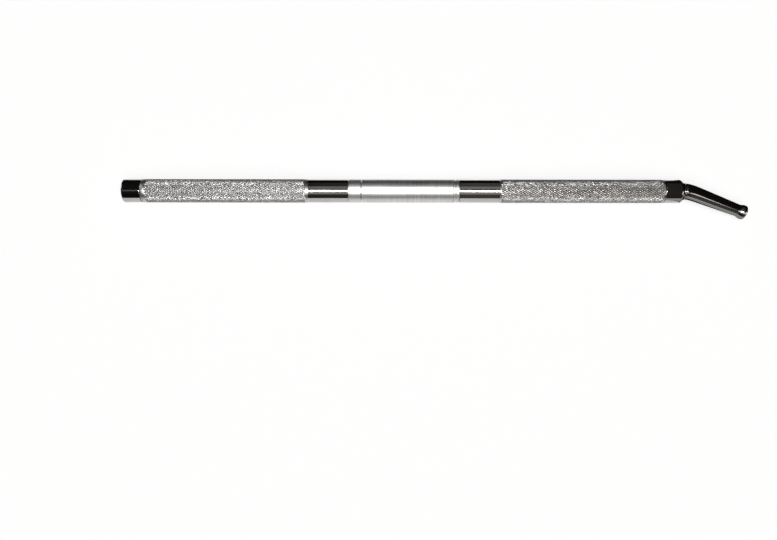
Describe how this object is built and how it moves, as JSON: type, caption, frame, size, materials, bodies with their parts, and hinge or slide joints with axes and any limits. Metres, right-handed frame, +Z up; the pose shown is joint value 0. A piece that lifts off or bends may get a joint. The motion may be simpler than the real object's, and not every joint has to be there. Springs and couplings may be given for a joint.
{
  "type": "fuel sampler",
  "caption": "Slim steel suction fuel sampler: knurled pull handle on a piston rod, satin guide sleeve, knurled barrel and a bent swivel spout with a rolled lip.",
  "frame": {"origin": "middle of the tool's footprint, on the surface that it lies on", "axes": "+X along the tool from the end cap to the spout, +Z up; the spout is bent towards -Y and rests its lip on the surface"},
  "size_m": [0.4278, 0.0268, 0.0161],
  "materials": {
    "polished_steel": "polished stainless steel, with diamond knurling on the grips",
    "satin_steel": "satin, fine turning lines round the axis",
    "rod_steel": "ground and bright",
    "bearing_bronze": "sintered bearing bronze",
    "turned_brass": "turned",
    "black_rubber": "matt, fuel resistant rubber",
    "seal_plastic": "off-white low friction plastic"
  },
  "bodies": {
    "barrel": {"barrel_tube": "polished_steel", "guide_sleeve": "satin_steel", "sleeve_o_ring": "black_rubber", "wiper_retainer": "rod_steel", "rod_wiper": "black_rubber", "guide_bush_rear": "bearing_bronze", "guide_bush_front": "bearing_bronze", "stop_buffer": "black_rubber", "lock_ring": "satin_steel", "nose_fitting": "polished_steel", "nose_o_ring": "black_rubber", "spout_packing": "seal_plastic", "gland_ring": "polished_steel"},
    "piston_seals": {"cup_seal_rear": "seal_plastic", "cup_seal_front": "seal_plastic"},
    "handle": {"end_cap": "polished_steel", "end_cap_o_ring": "black_rubber", "handle_tube": "polished_steel", "handle_ferrule": "satin_steel", "bumper_ring": "black_rubber", "piston_rod": "rod_steel", "piston_plate_rear": "turned_brass", "piston_spacer": "turned_brass", "piston_plate_front": "turned_brass", "piston_nut": "rod_steel"},
    "spout": {"spout_tube": "polished_steel", "spout_clip": "rod_steel", "thrust_washer": "seal_plastic"}
  },
  "joints": [
    {"name": "plunger_slide", "type": "slide", "parent": "barrel", "child": "piston_seals", "axis": [-1, 0, 0], "range_m": [0, 0.098]},
    {"name": "handle_twist", "type": "hinge", "parent": "piston_seals", "child": "handle", "pos_m": [0, 0.00535, 0.00804], "axis": [1, 0, 0], "continuous": true},
    {"name": "spout_swivel", "type": "hinge", "parent": "barrel", "child": "spout", "pos_m": [0.17063, 0.00535, 0.00804], "axis": [1, 0, 0], "continuous": true}
  ]
}
